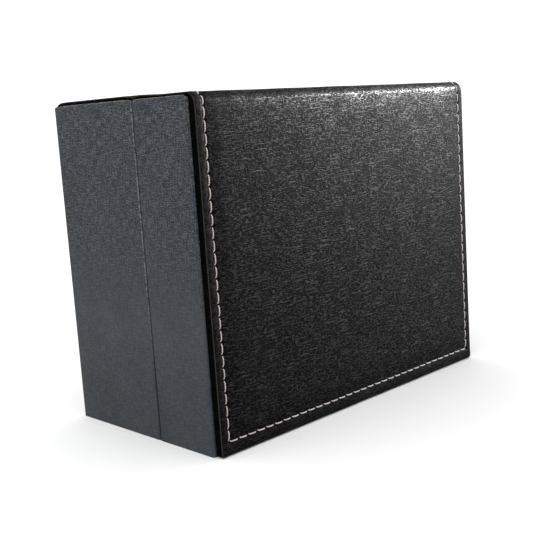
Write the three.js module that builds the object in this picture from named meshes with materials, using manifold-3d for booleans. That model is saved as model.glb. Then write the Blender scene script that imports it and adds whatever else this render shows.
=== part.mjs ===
// Clamshell card deck box, standing on its closing edge with the leather hinge on top.
// The base (behind the seam) holds a divided card tray, and the lid (in front of it) carries a
// padded, stitched front. One black leather cover runs over the front, the spine and the back.
//
// Frame: millimetres, +Z up, +X across the box, -Y towards the stitched front. The floor is z = 0
// and the origin is under the middle of the box. Inside each half, u is the distance from the seam.

import * as THREE from 'three';
import { mergeVertices } from 'three/addons/utils/BufferGeometryUtils.js';
import Module from 'manifold-3d';

const wasm = await Module();
wasm.setup();

// ---------- Driving dimensions ----------

// The box over its side panels.
const WIDTH = 144;
const SIDE_HEIGHT = 114.8;
const LID_DEPTH = 27.5; // seam to the front fold of the lid's side panels
const BASE_DEPTH = 46.2; // seam to the back fold of the base's side panels

// Sheet goods.
const BOARD = 2.0; // greyboard of the two shells
const WRAP = 0.6; // charcoal leatherette on the sides and the closing edge
const LEATHER = 0.6; // black cover
const FACE_BOARD = 1.6; // thin board behind the padded front
const FACE_FOAM = 0.5;
const SPINE_FOAM = 0.5;
const LINING = 0.3; // lining cloth in the lid and across the hinge
const PANEL = 1.5; // padded lining panels in the lid and under the cards
const TRAY_WALL = 1.4;
const DIVIDER = 1.4;

// Corners and folds.
const SIDE_CORNER = 1.8; // top corner of a side panel, away from the seam
const WRAP_FOLD = 1; // upright folds of the leatherette
const FRONT_BEND = 3.8; // outside of the cover where the front turns into the spine
const BACK_BEND = 4.5; // outside of the cover where the spine turns into the back
const DIVIDER_CORNER = 6;

// The cover.
const COVER_INSET = 0.65; // cover edge to the side panel's plane
const COVER_FOOT = 0.3; // cover edge above the floor
const CREASE_DROP = 0.35;
const CREASE_REACH = 4; // seam to where the pressed crease is back at full height
const HINGE_RISE = 0.2; // hinge line above the bottom of the crease

// Stitching.
const STITCH_INSET = 3.5; // from the cover's side edges
const STITCH_FOOT = 4.9; // lower row, above the floor
const STITCH_END = 5; // the side rows end this far from the seam
const THREAD_WIDTH = 0.7;
const THREAD_RISE = 0.2;

// Card tray and closure.
const NECK = 8; // how far the tray stands out of the base
const NECK_CLEARANCE = 0.4; // tray to the lid's lining, at the sides and under the hinge
const SWING_CLEARANCE = 0.85; // tray to the lid's lining at the closing edge, which swings past
const DIVIDER_DROP = 4; // divider's free edge below the tray's rim
const MAGNET_LENGTH = 20;
const MAGNET_REACH = 5;
const MAGNET_THICKNESS = 1.2;
const MAGNET_SPACING = 84; // between the middles of the two magnets
const HINGE_LAP = 6; // hinge lining glued inside the base

// Fits.
const GLUE = 0.05; // glue line between pieces
const SEAM = 0.3; // open seam between the two halves
const POCKET_GAP = 0.1; // round a magnet in its pocket

const ARC_STEPS = 8;

// ---------- Sizes worked out from them ----------

const MOUTH = SEAM / 2; // seam's middle to either half
const HALF_WIDTH = WIDTH / 2;
const SHELL_HALF = HALF_WIDTH - WRAP - GLUE;
const CAVITY_HALF = SHELL_HALF - BOARD;
const SHELL_FOOT = WRAP + GLUE;
const CAVITY_FOOT = SHELL_FOOT + BOARD;
const CAVITY_TOP = SIDE_HEIGHT - BOARD;
const SHELL_MOUTH = MOUTH + WRAP + GLUE;

const COVER_HALF = HALF_WIDTH - COVER_INSET;
const COVER_TOP = SIDE_HEIGHT + GLUE + SPINE_FOAM + GLUE + LEATHER;
const HINGE_Z = COVER_TOP - CREASE_DROP + HINGE_RISE;

const LINING_HALF = CAVITY_HALF - GLUE;
const LINING_FOOT = CAVITY_FOOT + GLUE;
const LINING_TOP = CAVITY_TOP - GLUE;
const TRAY_HALF = LINING_HALF - LINING - NECK_CLEARANCE;
const TRAY_FOOT = LINING_FOOT + LINING + SWING_CLEARANCE;
const TRAY_TOP = LINING_TOP - LINING - NECK_CLEARANCE;

// Each half: which way u runs, how deep it is, and where the cover's outer face lies.
const lidHalf = {
  dir: -1,
  depth: LID_DEPTH,
  face: LID_DEPTH + GLUE + FACE_BOARD + GLUE + FACE_FOAM + GLUE + LEATHER,
  bend: FRONT_BEND,
};
const baseHalf = {
  dir: 1,
  depth: BASE_DEPTH,
  face: BASE_DEPTH + GLUE + LEATHER,
  bend: BACK_BEND,
};

// The box is centred between the outermost threads.
const CENTRE_SHIFT = (lidHalf.face - baseHalf.face) / 2;

// ---------- Materials ----------

const finish = (color, roughness, metalness = 0) =>
  new THREE.MeshStandardMaterial({ color, roughness, metalness });

const greyboard = finish(0x9a958c, 0.95);
const leatherette = finish(0x464b4f, 0.8);
const leather = finish(0x1c1b1c, 0.45);
const thread = finish(0xe6ddd2, 0.7);
const foam = finish(0xd8d4c8, 0.95);
const velvet = finish(0x141416, 0.95);
const lining = finish(0x17171a, 0.85);
const steel = finish(0xb9bcc0, 0.35, 1);

// ---------- Helpers ----------

// A box from its low and high corners.
function block(x0, x1, y0, y1, z0, z1) {
  const geometry = new THREE.BoxGeometry(x1 - x0, Math.abs(y1 - y0), z1 - z0);
  return geometry.translate((x0 + x1) / 2, (y0 + y1) / 2, (z0 + z1) / 2);
}

// Points along an arc, with its ends, as [first, second] pairs.
function arc(centreFirst, centreSecond, radius, fromDegrees, toDegrees) {
  const points = [];
  for (let i = 0; i <= ARC_STEPS; i += 1) {
    const angle = THREE.MathUtils.degToRad(
      fromDegrees + ((toDegrees - fromDegrees) * i) / ARC_STEPS,
    );
    points.push([
      centreFirst + radius * Math.cos(angle),
      centreSecond + radius * Math.sin(angle),
    ]);
  }
  return points;
}

function shapeOf(points) {
  return new THREE.Shape(points.map(([a, b]) => new THREE.Vector2(a, b)));
}

// An outline in (u, z) carried across the box, from x0 to x1.
function across(half, points, x0, x1) {
  const shape = shapeOf(points.map(([u, z]) => [half.dir * u, z]));
  const geometry = new THREE.ExtrudeGeometry(shape, { depth: x1 - x0, bevelEnabled: false });
  const axes = new THREE.Matrix4().makeBasis(
    new THREE.Vector3(0, 1, 0),
    new THREE.Vector3(0, 0, 1),
    new THREE.Vector3(1, 0, 0),
  );
  return geometry.applyMatrix4(axes).translate(x0, 0, 0);
}

// An outline in (x, y) carried upwards, from z0 to z1.
function upwards(points, z0, z1) {
  const geometry = new THREE.ExtrudeGeometry(shapeOf(points), {
    depth: z1 - z0,
    bevelEnabled: false,
  });
  return geometry.translate(0, 0, z0);
}

function solidOf(geometry) {
  const bare = geometry.clone();
  bare.deleteAttribute('normal');
  bare.deleteAttribute('uv');
  const merged = mergeVertices(bare);
  return new wasm.Manifold(
    new wasm.Mesh({
      numProp: 3,
      vertProperties: Float32Array.from(merged.attributes.position.array),
      triVerts: Uint32Array.from(merged.index.array),
    }),
  );
}

function geometryOf(solid) {
  const mesh = solid.getMesh();
  const geometry = new THREE.BufferGeometry();
  geometry.setAttribute('position', new THREE.BufferAttribute(mesh.vertProperties, 3));
  geometry.setIndex(new THREE.BufferAttribute(mesh.triVerts, 1));
  return geometry;
}

const joined = (...parts) => geometryOf(parts.map(solidOf).reduce((a, b) => a.add(b)));
const cut = (body, ...tools) =>
  geometryOf(tools.map(solidOf).reduce((a, b) => a.subtract(b), solidOf(body)));
const common = (a, b) => geometryOf(solidOf(a).intersect(solidOf(b)));

// A block inside one half, from its two distances to the seam.
const halfBlock = (half, x0, x1, u0, u1, z0, z1) =>
  block(x0, x1, half.dir * u0, half.dir * u1, z0, z1);

function add(group, name, geometry, material) {
  const mesh = new THREE.Mesh(geometry, material);
  mesh.name = name;
  group.add(mesh);
}

// ---------- Pieces that both halves have ----------

// The middles of the two closing magnets, and of the two plates that they meet.
const magnetPlaces = { left: -MAGNET_SPACING / 2, right: MAGNET_SPACING / 2 };
const MAGNET_Z = SHELL_FOOT + BOARD / 2;

function magnetBlock(half, x, gap) {
  const reach = SHELL_MOUTH + gap;
  return halfBlock(
    half,
    x - MAGNET_LENGTH / 2 - gap,
    x + MAGNET_LENGTH / 2 + gap,
    gap > 0 ? SHELL_MOUTH - 1 : reach,
    reach + MAGNET_REACH + gap,
    MAGNET_Z - MAGNET_THICKNESS / 2 - gap,
    MAGNET_Z + MAGNET_THICKNESS / 2 + gap,
  );
}

// The side of a half as an outline in (u, z): a rectangle whose far top corner is rounded.
function sideOutline(nearU, farU, foot) {
  return [
    [nearU, foot],
    [farU, foot],
    ...arc(farU - SIDE_CORNER, SIDE_HEIGHT - SIDE_CORNER, SIDE_CORNER, 0, 90),
    [nearU, SIDE_HEIGHT],
  ];
}

// A greyboard tray, open at the seam, with a pocket for each magnet in its closing edge.
function shell(half) {
  const far = half.depth - WRAP - GLUE;
  const outer = across(half, sideOutline(SHELL_MOUTH, far, SHELL_FOOT), -SHELL_HALF, SHELL_HALF);
  const hollow = halfBlock(
    half, -CAVITY_HALF, CAVITY_HALF, SHELL_MOUTH - 1, far - BOARD, CAVITY_FOOT, CAVITY_TOP,
  );
  const pockets = Object.values(magnetPlaces).map((x) => magnetBlock(half, x, POCKET_GAP));
  return cut(outer, hollow, ...pockets);
}

// The leatherette on one side: a plate folded over the board's edge at the seam and at the far end.
function sideWrap(half, side) {
  const fold = WRAP_FOLD;
  const corners = [
    [CAVITY_HALF, MOUTH],
    ...arc(HALF_WIDTH - fold, MOUTH + fold, fold, -90, 0),
    ...arc(HALF_WIDTH - fold, half.depth - fold, fold, 0, 90),
    [CAVITY_HALF, half.depth],
    [CAVITY_HALF, half.depth - WRAP],
    [HALF_WIDTH - WRAP, half.depth - WRAP],
    [HALF_WIDTH - WRAP, MOUTH + WRAP],
    [CAVITY_HALF, MOUTH + WRAP],
  ];
  const folded = upwards(corners.map(([x, u]) => [side * x, half.dir * u]), 0, SIDE_HEIGHT);
  const outline = sideOutline(MOUTH, half.depth, 0);
  return common(folded, across(half, outline, -WIDTH, WIDTH));
}

// The leatherette under the closing edge, between the two side wraps and folded over both ends.
function bottomWrap(half) {
  const middle = CAVITY_HALF - GLUE;
  const plate = halfBlock(
    half, -SHELL_HALF, SHELL_HALF, SHELL_MOUTH, half.depth - WRAP - GLUE, 0, WRAP,
  );
  const tongue = halfBlock(half, -middle, middle, MOUTH, half.depth, 0, WRAP);
  const nearLip = halfBlock(half, -middle, middle, MOUTH, MOUTH + WRAP, 0, CAVITY_FOOT);
  const farLip = halfBlock(
    half, -middle, middle, half.depth - WRAP, half.depth, 0, CAVITY_FOOT,
  );
  return joined(plate, tongue, nearLip, farLip);
}

// The lining on the hinge side: over the board's edge at the seam, and along its inner face.
function hingeLining(half, reach) {
  const underCrease = COVER_TOP - CREASE_DROP - LEATHER - GLUE;
  const edge = halfBlock(
    half, -LINING_HALF, LINING_HALF, MOUTH, MOUTH + LINING, LINING_TOP - LINING, underCrease,
  );
  const leg = halfBlock(
    half, -LINING_HALF, LINING_HALF, MOUTH, reach, LINING_TOP - LINING, LINING_TOP,
  );
  return joined(edge, leg);
}

// The cover's outer face as points in (u, z), raised by rise: crease, spine, bend, then down.
function coverFace(half, rise, startU, foot) {
  const creaseZ = (u) => COVER_TOP - CREASE_DROP * Math.max(0, 1 - u / CREASE_REACH);
  const start = [[startU, creaseZ(startU) + rise]];
  if (startU < CREASE_REACH) start.push([CREASE_REACH, COVER_TOP + rise]);
  const centreU = half.face - half.bend;
  const centreZ = COVER_TOP - half.bend;
  return [...start, ...arc(centreU, centreZ, half.bend + rise, 90, 0), [half.face + rise, foot]];
}

// What the cover closes round on one half: the padding and the thin board under it.
function paddingSpace(half) {
  const belowSpine = SIDE_HEIGHT - SIDE_CORNER - BOARD;
  const hingeEnd = [[0, belowSpine], [0, COVER_TOP - CREASE_DROP - LEATHER]];
  if (half === baseHalf) {
    return [
      ...hingeEnd,
      [CREASE_REACH, COVER_TOP - LEATHER],
      [spineFoamEnd(half) + GLUE, COVER_TOP - LEATHER],
      [spineFoamEnd(half) + GLUE, belowSpine],
    ];
  }
  return [
    ...hingeEnd,
    ...coverFace(half, -LEATHER, CREASE_REACH, COVER_FOOT + LEATHER),
    [half.depth - BOARD, COVER_FOOT + LEATHER],
    [half.depth - BOARD, belowSpine],
  ];
}

// The leather on one half: spine, bend and face, with an edge turned in at both sides and the foot.
function cover(half) {
  const corner = arc(
    half.depth - SIDE_CORNER, SIDE_HEIGHT - SIDE_CORNER, SIDE_CORNER + GLUE, 0, 90,
  );
  const outline = [
    ...coverFace(half, 0, MOUTH, COVER_FOOT),
    [half.depth + GLUE, COVER_FOOT],
    ...corner,
    [MOUTH, SIDE_HEIGHT + GLUE],
  ];
  const body = across(half, outline, -COVER_HALF, COVER_HALF);
  const inner = COVER_HALF - LEATHER;
  return cut(body, across(half, paddingSpace(half), -inner, inner));
}

// The foam under the spine runs from the crease to just short of the bend.
const spineFoamEnd = (half) => Math.min(half.face - half.bend, half.depth - SIDE_CORNER) - GLUE;

function spineFoam(half) {
  const inner = COVER_HALF - LEATHER - GLUE;
  const low = SIDE_HEIGHT + GLUE;
  return halfBlock(
    half, -inner, inner, CREASE_REACH, spineFoamEnd(half), low, low + SPINE_FOAM,
  );
}

// The thread on one half: a row down each side of the cover, joined by a row above its foot.
function stitching(half) {
  const foot = STITCH_FOOT - THREAD_WIDTH / 2;
  const top = coverFace(half, GLUE + THREAD_RISE, STITCH_END, foot);
  const under = coverFace(half, GLUE, STITCH_END, foot).reverse();
  const row = COVER_HALF - STITCH_INSET;
  const sideRow = (x) =>
    across(half, [...top, ...under], x - THREAD_WIDTH / 2, x + THREAD_WIDTH / 2);
  const lowRow = halfBlock(
    half, -row, row, half.face + GLUE, half.face + GLUE + THREAD_RISE, foot, foot + THREAD_WIDTH,
  );
  return joined(sideRow(-row), lowRow, sideRow(row));
}

function addShared(group, half, word, coverWord) {
  add(group, `${word}_shell`, shell(half), greyboard);
  add(group, `${word}_left_wrap`, sideWrap(half, -1), leatherette);
  add(group, `${word}_right_wrap`, sideWrap(half, 1), leatherette);
  add(group, `${word}_bottom_wrap`, bottomWrap(half), leatherette);
  add(group, `${coverWord}_cover`, cover(half), leather);
  add(group, `${coverWord}_stitching`, stitching(half), thread);
  add(group, `${coverWord}_spine_foam`, spineFoam(half), foam);
}

// ---------- The base: card tray, divider, pads and magnets ----------

const base = new THREE.Group();
addShared(base, baseHalf, 'base', 'rear');
add(base, 'base_hinge_lining', hingeLining(baseHalf, SHELL_MOUTH + HINGE_LAP), lining);

const trayBack = BASE_DEPTH - WRAP - GLUE - BOARD - GLUE;
const trayInner = {
  half: TRAY_HALF - TRAY_WALL,
  foot: TRAY_FOOT + TRAY_WALL,
  top: TRAY_TOP - TRAY_WALL,
  back: trayBack - TRAY_WALL,
};

const trayBody = block(-TRAY_HALF, TRAY_HALF, -NECK, trayBack, TRAY_FOOT, TRAY_TOP);
const trayHollow = block(
  -trayInner.half, trayInner.half, -NECK - 1, trayInner.back, trayInner.foot, trayInner.top,
);
add(base, 'card_tray', cut(trayBody, trayHollow), velvet);

// The divider stands on the tray's back, with its two free corners rounded.
const dividerFree = -NECK + DIVIDER_DROP;
const dividerFoot = trayInner.foot + GLUE;
const dividerTop = trayInner.top - GLUE;
const dividerOutline = [
  [trayInner.back - GLUE, dividerTop],
  ...arc(dividerFree + DIVIDER_CORNER, dividerTop - DIVIDER_CORNER, DIVIDER_CORNER, 90, 180),
  ...arc(dividerFree + DIVIDER_CORNER, dividerFoot + DIVIDER_CORNER, DIVIDER_CORNER, 180, 270),
  [trayInner.back - GLUE, dividerFoot],
];
add(base, 'divider', across(baseHalf, dividerOutline, -DIVIDER / 2, DIVIDER / 2), velvet);

for (const [word, side] of [['left', -1], ['right', 1]]) {
  const near = side * (DIVIDER / 2 + GLUE);
  const far = side * (trayInner.half - GLUE);
  const pad = block(
    Math.min(near, far), Math.max(near, far),
    trayInner.back - GLUE - PANEL, trayInner.back - GLUE,
    dividerFoot, dividerTop,
  );
  add(base, `well_pad_${word}`, pad, velvet);
  add(base, `base_magnet_${word}`, magnetBlock(baseHalf, magnetPlaces[word], 0), steel);
}

// ---------- The lid: padded front, linings and steel plates ----------

const lid = new THREE.Group();
addShared(lid, lidHalf, 'lid', 'front');

const liningPanelFar = LID_DEPTH - WRAP - GLUE - BOARD - GLUE;
const liningPanelNear = liningPanelFar - PANEL;
add(lid, 'lid_hinge_lining', hingeLining(lidHalf, liningPanelNear - GLUE), lining);

const faceHalf = COVER_HALF - LEATHER - GLUE;
const faceFoot = COVER_FOOT + LEATHER + GLUE;
const faceTop = COVER_TOP - FRONT_BEND;
const faceBoardNear = LID_DEPTH + GLUE;
const faceFoamNear = faceBoardNear + FACE_BOARD + GLUE;
const facePlate = (u, thickness) =>
  halfBlock(lidHalf, -faceHalf, faceHalf, u, u + thickness, faceFoot, faceTop);
add(lid, 'front_board', facePlate(faceBoardNear, FACE_BOARD), greyboard);
add(lid, 'front_foam', facePlate(faceFoamNear, FACE_FOAM), foam);

const liningPanel = halfBlock(
  lidHalf, -LINING_HALF, LINING_HALF, liningPanelNear, liningPanelFar, LINING_FOOT, LINING_TOP,
);
add(lid, 'lid_lining_panel', liningPanel, velvet);

// The lining on the lid's two sides and closing edge is one strip; the hinge lining has the fourth.
const stripTop = LINING_TOP - LINING - GLUE;
const stripFar = liningPanelNear - GLUE;
const strip = halfBlock(
  lidHalf, -LINING_HALF, LINING_HALF, SHELL_MOUTH, stripFar, LINING_FOOT, stripTop,
);
const insideStrip = halfBlock(
  lidHalf,
  -LINING_HALF + LINING, LINING_HALF - LINING,
  0, stripFar + 1,
  LINING_FOOT + LINING, stripTop + 1,
);
add(lid, 'lid_wall_lining', cut(strip, insideStrip), lining);

for (const word of ['left', 'right']) {
  add(lid, `lid_plate_${word}`, magnetBlock(lidHalf, magnetPlaces[word], 0), steel);
}

// ---------- Assembly ----------

// The lid turns on the hinge line, so its group's origin is there and its pieces hang below it.
const hinge = new THREE.Group();
hinge.position.set(0, 0, HINGE_Z);
lid.position.set(0, 0, -HINGE_Z);
hinge.add(lid);

const deckBox = new THREE.Group();
deckBox.add(base, hinge);
deckBox.position.y = CENTRE_SHIFT;

export default deckBox;
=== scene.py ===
# %% [markdown]
# # A stitched card deck box
#
# The box is a clamshell for two columns of sleeved cards. It stands on its closing edge, with the
# leather hinge on top. Two greyboard trays give it its shape, charcoal leatherette covers their sides
# and the closing edge, and one black leather cover runs over the padded front, the spine and the back.
#
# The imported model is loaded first. It fixes every size and place, so each new piece is worked out
# in the same frame: the floor is z = 0, the stitched front looks towards -Y, and x runs across the box.

# %% Load the frame
import math

import bpy
import numpy as np
from mathutils import Matrix, Vector


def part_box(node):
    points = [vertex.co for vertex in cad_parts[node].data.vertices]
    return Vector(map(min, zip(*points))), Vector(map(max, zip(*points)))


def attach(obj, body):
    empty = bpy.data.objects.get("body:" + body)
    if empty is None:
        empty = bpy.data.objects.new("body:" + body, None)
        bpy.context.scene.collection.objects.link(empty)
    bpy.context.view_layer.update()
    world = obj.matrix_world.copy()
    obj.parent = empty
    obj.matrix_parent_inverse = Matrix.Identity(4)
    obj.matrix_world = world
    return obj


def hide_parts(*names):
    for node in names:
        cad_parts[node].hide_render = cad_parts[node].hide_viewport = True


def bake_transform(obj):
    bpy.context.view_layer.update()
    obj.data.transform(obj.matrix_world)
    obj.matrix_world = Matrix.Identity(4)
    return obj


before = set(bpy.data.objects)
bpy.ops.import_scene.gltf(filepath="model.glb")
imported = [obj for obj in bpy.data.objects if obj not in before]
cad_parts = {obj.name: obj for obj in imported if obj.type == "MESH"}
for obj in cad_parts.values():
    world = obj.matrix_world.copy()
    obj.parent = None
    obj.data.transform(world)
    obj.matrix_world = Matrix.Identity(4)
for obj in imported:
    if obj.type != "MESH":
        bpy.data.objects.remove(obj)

MM = 0.001
scene = bpy.context.scene
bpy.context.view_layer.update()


def put(name, data):
    """A new object in the scene."""
    made = bpy.data.objects.new(name, data)
    scene.collection.objects.link(made)
    return made


# %% [markdown]
# ## The camera
#
# The camera looks at the box's front left upright edge, from a little below the height of its top,
# and is turned a few degrees about its own axis. Its place, three angles and a lens are all it needs.

# %% Place the camera
EYE = np.array([-250.90, -249.12, 106.85])
TURN, DIP, ROLL = np.radians([44.249, 9.366, -3.738])
LENS = 61.455

ahead = np.array([math.sin(TURN) * math.cos(DIP), math.cos(TURN) * math.cos(DIP), -math.sin(DIP)])
level = np.cross(ahead, [0, 0, 1])
level /= np.linalg.norm(level)
upward = np.cross(level, ahead)
camera_x = level * math.cos(ROLL) + upward * math.sin(ROLL)
camera_y = -level * math.sin(ROLL) + upward * math.cos(ROLL)

camera = put("camera", bpy.data.cameras.new("camera"))
camera.data.lens = LENS
camera.data.clip_start = 0.01
axes = np.column_stack([camera_x, camera_y, -ahead, EYE * MM])
camera.matrix_world = Matrix([*axes.tolist(), [0, 0, 0, 1]])
scene.camera = camera
print("camera is", round(float(np.linalg.norm(EYE))), "mm from the middle of the box's foot")

# %% [markdown]
# ## Surfaces from numbers
#
# Every new piece is a surface worked out as whole arrays: a grid of points and the numbers of the
# corners of its faces. A piece is then made in one go from the two. Its volume, added up over all its
# faces, says whether they look outwards; where it comes out negative, they are all turned round.

# %% Make a mesh piece
def grid_faces(rows, columns, ring=False, first=0):
    """Corner numbers of a grid's quads, its points counted row by row; ring joins the last column to
    the first one."""
    row = np.arange(rows - 1)[:, None]
    column = np.arange(columns if ring else columns - 1)[None, :]
    beside = (column + 1) % columns
    corners = [row * columns + column, row * columns + beside,
               (row + 1) * columns + beside, (row + 1) * columns + column]
    return first + np.stack(np.broadcast_arrays(*corners), -1).reshape(-1, 4)


def make_piece(name, points, face_groups, cloth=None):
    """A mesh object from points in millimetres and arrays of faces, each with its own number of
    corners. cloth is each point's place on the flat cut in millimetres, kept as a UV map in metres."""
    points = np.asarray(points, float).reshape(-1, 3)
    middle = points.mean(0)
    volume = 0
    for faces in face_groups:
        for k in range(1, faces.shape[1] - 1):
            a, b, c = (points[faces[:, j]] - middle for j in (0, k, k + 1))
            volume += (a * np.cross(b, c)).sum() / 6
    if volume < 0:
        face_groups = [faces[:, ::-1] for faces in face_groups]
    sizes = np.concatenate([np.full(len(faces), faces.shape[1]) for faces in face_groups])
    corners = np.concatenate([faces.ravel() for faces in face_groups])
    mesh = bpy.data.meshes.new(name)
    mesh.vertices.add(len(points))
    mesh.vertices.foreach_set("co", (points * MM).ravel())
    mesh.loops.add(len(corners))
    mesh.loops.foreach_set("vertex_index", corners.astype(np.int32))
    mesh.polygons.add(len(sizes))
    mesh.polygons.foreach_set("loop_start", np.concatenate([[0], np.cumsum(sizes)[:-1]]).astype(np.int32))
    mesh.update(calc_edges=True)
    if cloth is not None:
        flat = np.asarray(cloth, float).reshape(-1, 2) * MM
        mesh.uv_layers.new(name="cut").data.foreach_set("uv", flat[corners].ravel())
    mesh.validate()
    mesh.shade_smooth()
    mesh.set_sharp_from_angle(angle=math.radians(50))
    piece = put(name, mesh)
    print(f"{name}: {int((sizes - 2).sum())} triangles, {abs(volume) / 1000:.2f} cubic cm")
    return piece


def stand_in(piece, node, body):
    """Let a new piece take a CAD node's place, on the same body; the node is hidden."""
    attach(piece, body)
    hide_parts(node)


def corners_of(node):
    """A CAD node's low and high corners, in millimetres."""
    return [np.array(corner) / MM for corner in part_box(node)]


# %% [markdown]
# ## Sheets with a thickness
#
# Leather, leatherette and cloth are thin sheets. Blender's Solidify modifier could give them their
# thickness, but the hidden side would then have as many faces as the seen one. Here the hidden side
# takes every second row and column, and a rim of five-cornered faces closes the two together.

# %% Give a sheet its thickness
def outline_of(rows, columns):
    """The numbers of a grid's points along its edge, once round."""
    number = np.arange(rows * columns).reshape(rows, columns)
    return np.concatenate([number[0, :-1], number[:-1, -1], number[-1, :0:-1], number[:0:-1, 0]])


def facing_of(points, side=1):
    """The direction a grid faces at each point: the cross product of its slopes along both ways. Where
    the seen side is the other one, side is -1."""
    facing = side * np.cross(np.gradient(points, axis=1), np.gradient(points, axis=0))
    return facing / np.maximum(np.linalg.norm(facing, axis=-1, keepdims=True), 1e-9)


def thick_sheet(name, points, thickness, cloth, side=1):
    """A closed sheet: the outer grid of points, an inner grid one thickness behind it along its
    facing, with half as many rows and columns, and the rim between them. Both counts are odd."""
    rows, columns = points.shape[:2]
    behind = points - facing_of(points, side) * np.broadcast_to(thickness, points.shape[:2])[..., None]
    inner = behind[::2, ::2]
    outer_edge = outline_of(rows, columns)
    inner_edge = outline_of(*inner.shape[:2]) + rows * columns
    rim = [np.roll(outer_edge, -2)[::2], np.roll(outer_edge, -1)[::2], outer_edge[::2],
           inner_edge, np.roll(inner_edge, -1)]
    quads = [grid_faces(rows, columns),
             grid_faces(*inner.shape[:2], first=rows * columns)[:, ::-1]]
    every_point = np.concatenate([points.reshape(-1, 3), inner.reshape(-1, 3)])
    every_cloth = np.concatenate([cloth.reshape(-1, 2), cloth[::2, ::2].reshape(-1, 2)])
    return make_piece(name, every_point, [np.concatenate(quads), np.stack(rim, -1)], every_cloth)


# %% [markdown]
# ## Paths that bend
#
# A sheet that is folded over board runs straight, turns through an arc, and runs straight again.
# Its section is a path made of such runs. On every run the heading changes evenly, so a point's
# place is the run's start plus a chord: its length is the distance times the sinc of half the turn.

# %% Follow a bent path
def bent_path(start, heading, runs):
    """A function that gives the place and the facing (to the left of the heading) at a distance along
    a path, and the path's length. runs are (length, turn in degrees), where a straight turns by 0."""
    lengths, turns = np.array(runs, float).T
    turns = np.radians(turns)
    starts = np.concatenate([[0], np.cumsum(lengths)[:-1]])
    headings = math.radians(heading) + np.concatenate([[0], np.cumsum(turns)[:-1]])

    def chord(length, turn, way):
        reach = length * np.sinc(turn / 2 / np.pi)
        middle = way + turn / 2
        return reach[..., None] * np.stack([np.cos(middle), np.sin(middle)], -1)

    steps = chord(lengths, turns, headings)
    places = np.array(start, float) + np.concatenate([[[0, 0]], np.cumsum(steps, axis=0)[:-1]])

    def at(distance):
        run = np.clip(np.searchsorted(starts, distance, side="right") - 1, 0, len(starts) - 1)
        along = distance - starts[run]
        turn = turns[run] * along / lengths[run]
        way = headings[run] + turn
        facing = np.stack([-np.sin(way), np.cos(way)], -1)
        return places[run] + chord(along, turn, headings[run]), facing

    return at, float(lengths.sum())


def bend(radius, degrees):
    """A run round an arc."""
    return radius * abs(math.radians(degrees)), degrees


def odd_count(values):
    """The same values, with one more between the middle two where their number is even."""
    half = len(values) // 2
    extra = [] if len(values) % 2 else [values[half - 1 : half + 1].mean()]
    return np.concatenate([values[:half], extra, values[half:]])


def through(knots, counts):
    """An odd number of values through all the knots, with so many even steps between each two."""
    steps = [np.linspace(low, high, count + 1)[:-1] for low, high, count in zip(knots, knots[1:], counts)]
    return odd_count(np.concatenate([*steps, knots[-1:]]))


# %% [markdown]
# ## Edges turned over board
#
# At its edges a covering turns over the board: the flat part, a quarter circle with the fold's radius,
# then a flange. At a corner the grid's square margin is bent round a quarter circle, so that the flange
# goes round the corner without a gap, as neatly folded leather does.

# %% Turn an edge and a corner
OUT_PART, TURN_PART, FLANGE_START = 0.2, 0.4, 0.6


def turned(p, q, half_a, half_b, reach, fold, flange):
    """Plan place (a, b) and depth of a sheet whose four edges are turned over, and its place on the flat
    cut. p and q run from -1 to 1 over the flat part, and to -2 and 2 over the margin. reach is the
    corner's radius in plan."""
    over_p, over_q = np.maximum(abs(p) - 1, 0), np.maximum(abs(q) - 1, 0)
    over = np.maximum(over_p, over_q)
    slant = np.pi / 4 * np.minimum(over_p, over_q) / np.maximum(over, 1e-9)
    lead, side = np.cos(slant), np.sin(slant)
    p_leads = over_p >= over_q
    turn = np.clip((over - OUT_PART) / TURN_PART, 0, 1) * np.pi / 2
    out = np.clip(over / OUT_PART, 0, 1) * (reach - fold) + fold * np.sin(turn)
    down = fold * (1 - np.cos(turn)) + np.clip((over - FLANGE_START) / TURN_PART, 0, 1) * flange
    to_a = np.where(p_leads, lead, side) * (over_p > 0) * np.sign(p)
    to_b = np.where(p_leads, side, lead) * (over_q > 0) * np.sign(q)
    a = np.clip(p, -1, 1) * (half_a - reach) + out * to_a
    b = np.clip(q, -1, 1) * (half_b - reach) + out * to_b
    return a, b, down, np.stack([a + down * to_a, b + down * to_b], -1)


MARGIN = 1 + np.array([0.1, 0.2, 0.28, 0.36, 0.44, 0.52, 0.6, 0.73, 0.87, 1.0])


def with_margins(flat):
    """Grid values from -2 to 2: the flat part's own, with the same margin at both ends."""
    return np.concatenate([-MARGIN[::-1], flat, MARGIN])


# %% [markdown]
# ## The black cover
#
# One piece of cross-grain leather is glued over the front's thin padded board, bent over the top edge,
# carried along the spine, pressed into a crease over the seam, which is the hinge, and taken down the
# back. In section it is a bent path; across the box it is wide, with its edges turned over.
#
# What makes it look sewn is its height above that plain shape. The stitches pull a groove into the
# leather, deepest at the needle holes, where small puckers run out from it. Inside the groove the
# padding lifts the leather. Behind the crease the spine rises in a low cushion, and before it sags.

# %% Measure the cover
front_low, front_high = corners_of("front_cover")
rear_low, rear_high = corners_of("rear_cover")
COVER_HALF = front_high[0]
FRONT_Y, BACK_Y = front_low[1], rear_high[1]
FOOT_Z, TOP_Z = front_low[2], front_high[2]
SEAM_Y = (front_high[1] + rear_low[1]) / 2
FRONT_BEND, BACK_BEND = 3.8, 4.5
SPINE_SAG = 0.3
LEATHER = 0.55

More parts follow.
